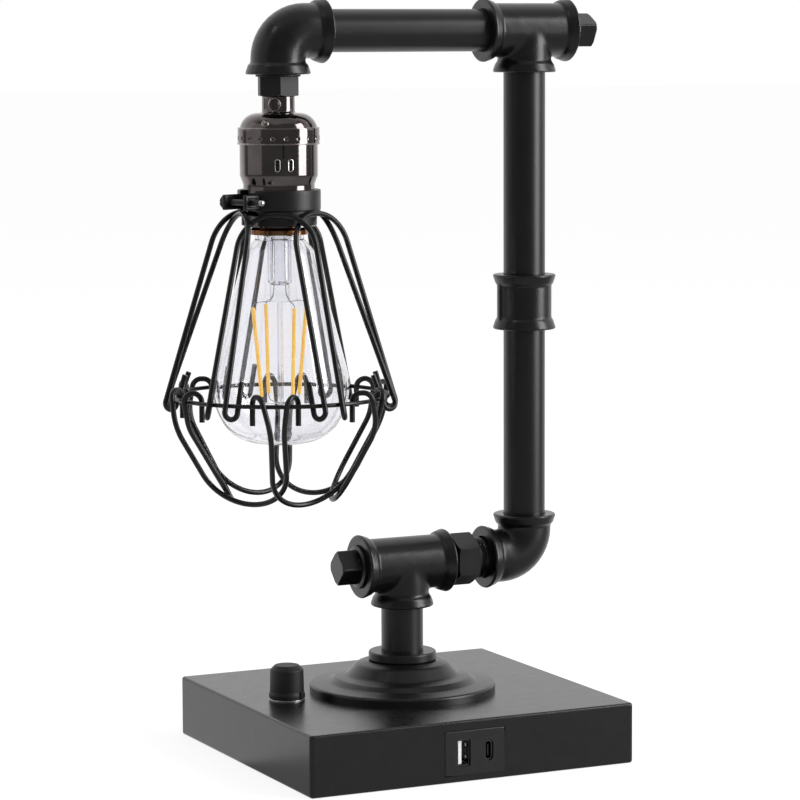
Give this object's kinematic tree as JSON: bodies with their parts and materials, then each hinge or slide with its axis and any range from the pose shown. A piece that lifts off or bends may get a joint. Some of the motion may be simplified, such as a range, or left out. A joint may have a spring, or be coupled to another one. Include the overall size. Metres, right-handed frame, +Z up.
{
  "type": "table lamp",
  "caption": "Industrial table lamp of black pipe fittings on a square steel base, with a caged filament bulb, a dimmer knob and charging ports.",
  "frame": {"origin": "centre of the base's rest face, on the table top", "axes": "+Z up along the stem; +X along the front of the base from the dimmer knob towards the column, to the viewer's right; +Y from the charging ports in the front wall to the cord bushing in the rear wall"},
  "size_m": [0.2331, 0.1674, 0.3809],
  "materials": {
    "powder_coat": "satin",
    "pipe_black": "satin",
    "cast_black": "semi_gloss",
    "wire_black": "semi_gloss",
    "black_nickel": "gloss",
    "black_plastic": "satin",
    "white_plastic": "gloss",
    "bright_steel": "satin",
    "brass": "satin",
    "board_green": "satin",
    "porcelain": "gloss",
    "clear_glass": "gloss",
    "filament": "satin",
    "lead_steel": "satin",
    "rubber_pad": "matte",
    "wire_cover": "satin"
  },
  "bodies": {
    "base": {"base_shell": "powder_coat", "base_plate": "powder_coat", "base_pad": "rubber_pad", "base_screws": "bright_steel", "cord_bushing": "black_plastic", "usb_panel": "black_plastic", "usb_a_shell": "black_nickel", "usb_c_shell": "black_nickel", "usb_a_tongue": "white_plastic", "usb_c_tongue": "black_plastic", "circuit_board": "board_green", "dimmer": "bright_steel", "dimmer_washer": "bright_steel", "floor_flange": "cast_black", "stem_collar": "cast_black", "stem_locknut": "bright_steel", "stem_pipe": "pipe_black", "lower_tee": "cast_black", "lower_plug": "cast_black", "hex_nipple": "cast_black", "lower_elbow": "cast_black", "lower_column_pipe": "pipe_black", "column_coupling": "cast_black", "upper_column_pipe": "pipe_black", "lamp_wire_base": "wire_cover"},
    "knob": {"dimmer_shaft": "bright_steel", "dimmer_knob": "black_plastic"},
    "arm": {"upper_tee": "cast_black", "upper_plug": "cast_black", "arm_pipe": "pipe_black", "lamp_wire_arm": "wire_cover"},
    "head": {"head_elbow": "cast_black", "hex_bushing": "cast_black", "threaded_tube": "bright_steel", "holder_cap": "black_nickel", "grub_screw": "bright_steel", "holder_shell": "black_nickel", "holder_core": "porcelain", "thread_shell": "brass", "centre_contact": "brass", "cage_clamp": "pipe_black", "clamp_screw": "bright_steel", "cage_ring": "wire_black", "cage_arches": "wire_black", "bulb_glass": "clear_glass", "bulb_cap": "brass", "bulb_mount": "clear_glass", "bulb_filaments": "filament", "bulb_leads": "lead_steel", "lamp_wire_head": "wire_cover"},
    "petal_1": {"cage_petal_1": "wire_black"},
    "petal_2": {"cage_petal_2": "wire_black"},
    "petal_3": {"cage_petal_3": "wire_black"},
    "petal_4": {"cage_petal_4": "wire_black"},
    "petal_5": {"cage_petal_5": "wire_black"},
    "petal_6": {"cage_petal_6": "wire_black"}
  },
  "joints": [
    {"name": "knob_turn", "type": "hinge", "parent": "base", "child": "knob", "pos_m": [-0.0625, 0.004, 0.0307], "axis": [0, 0, -1], "range_deg": [0, 280]},
    {"name": "arm_swing", "type": "hinge", "parent": "base", "child": "arm", "pos_m": [0.0702, 0, 0.3648], "axis": [0, 0, 1], "range_deg": [-90, 90]},
    {"name": "head_tilt", "type": "hinge", "parent": "arm", "child": "head", "pos_m": [-0.0664, 0, 0.3648], "axis": [1, 0, 0], "range_deg": [-45, 45]},
    {"name": "petal_1_open", "type": "hinge", "parent": "head", "child": "petal_1", "pos_m": [-0.03195, 0.02271, 0.1851], "axis": [0.5505, -0.8348, 0], "range_deg": [0, 90]},
    {"name": "petal_2_open", "type": "hinge", "parent": "head", "child": "petal_2", "pos_m": [-0.06885, 0.04119, 0.1851], "axis": [0.9982, 0.0593, 0], "range_deg": [0, 90]},
    {"name": "petal_3_open", "type": "hinge", "parent": "head", "child": "petal_3", "pos_m": [-0.1033, 0.01848, 0.1851], "axis": [0.4478, 0.8942, 0], "range_deg": [0, 90]},
    {"name": "petal_4_open", "type": "hinge", "parent": "head", "child": "petal_4", "pos_m": [-0.10085, -0.02271, 0.1851], "axis": [-0.5505, 0.8348, 0], "range_deg": [0, 90]},
    {"name": "petal_5_open", "type": "hinge", "parent": "head", "child": "petal_5", "pos_m": [-0.06395, -0.04119, 0.1851], "axis": [-0.9982, -0.0593, 0], "range_deg": [0, 90]},
    {"name": "petal_6_open", "type": "hinge", "parent": "head", "child": "petal_6", "pos_m": [-0.0295, -0.01848, 0.1851], "axis": [-0.4478, -0.8942, 0], "range_deg": [0, 90]}
  ],
  "couplings": [
    {"joint": "petal_2_open", "follows": "petal_1_open", "ratio": 1},
    {"joint": "petal_3_open", "follows": "petal_1_open", "ratio": 1},
    {"joint": "petal_4_open", "follows": "petal_1_open", "ratio": 1},
    {"joint": "petal_5_open", "follows": "petal_1_open", "ratio": 1},
    {"joint": "petal_6_open", "follows": "petal_1_open", "ratio": 1}
  ]
}
